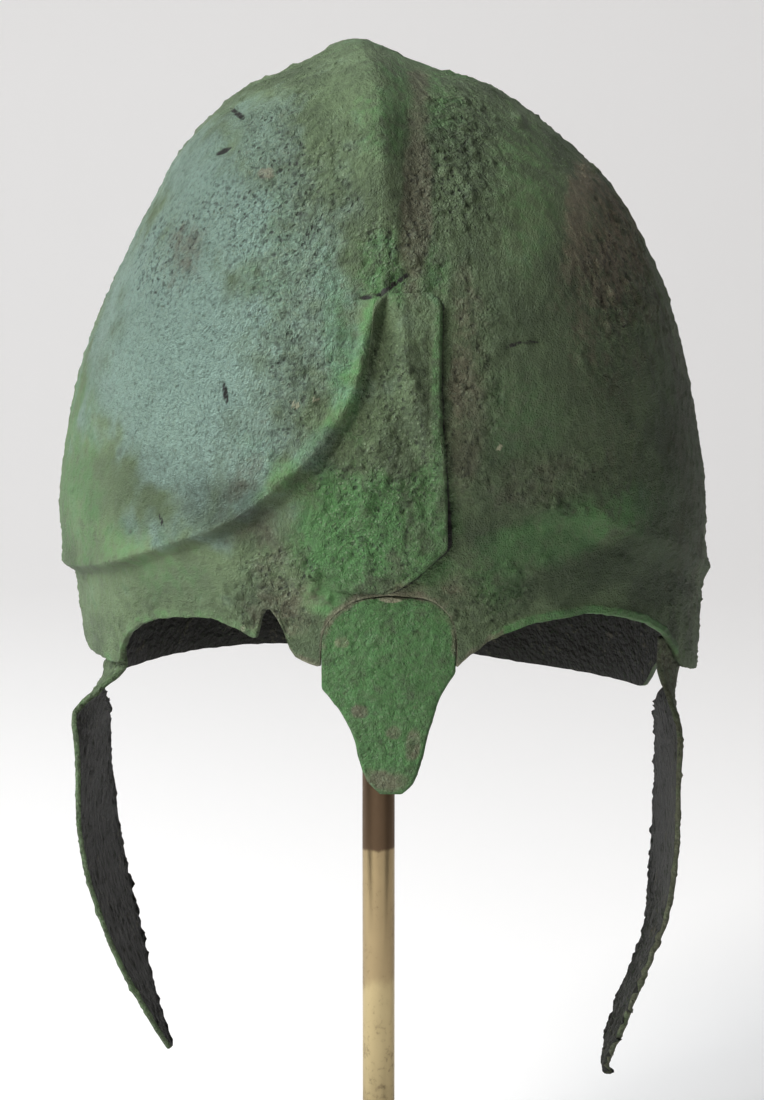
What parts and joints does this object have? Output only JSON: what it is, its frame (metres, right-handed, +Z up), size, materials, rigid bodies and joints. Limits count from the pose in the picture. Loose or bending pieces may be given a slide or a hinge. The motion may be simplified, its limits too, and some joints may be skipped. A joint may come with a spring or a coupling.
{
  "type": "chalcidian helmet on a rod stand",
  "caption": "Corroded bronze helmet with a raised keel, nose guard, open face and curved cheek pieces, carried on a brass rod in a plain dark square base.",
  "frame": {"origin": "middle of the base's underside, on the rod's axis", "axes": "+Z up along the rod, -Y towards the helmet's face, +X to the right of someone who looks at the face"},
  "size_m": [0.1961, 0.233, 0.3927],
  "materials": {
    "skull": "corroded bronze, gritty green patina",
    "nasal": "corroded bronze, gritty bright green patina",
    "forehead_plate": "corroded bronze, green patina",
    "cheek_pieces": "corroded bronze, dark green patina",
    "stand_metal": "worn, partly tarnished",
    "base": "dark satin lacquer"
  },
  "bodies": {
    "root": {"skull": "skull", "nasal": "nasal", "forehead_plate": "forehead_plate", "cheek_piece_left": "cheek_pieces", "cheek_piece_right": "cheek_pieces", "crown_rest": "stand_metal", "rod": "stand_metal", "base": "base"}
  },
  "joints": []
}
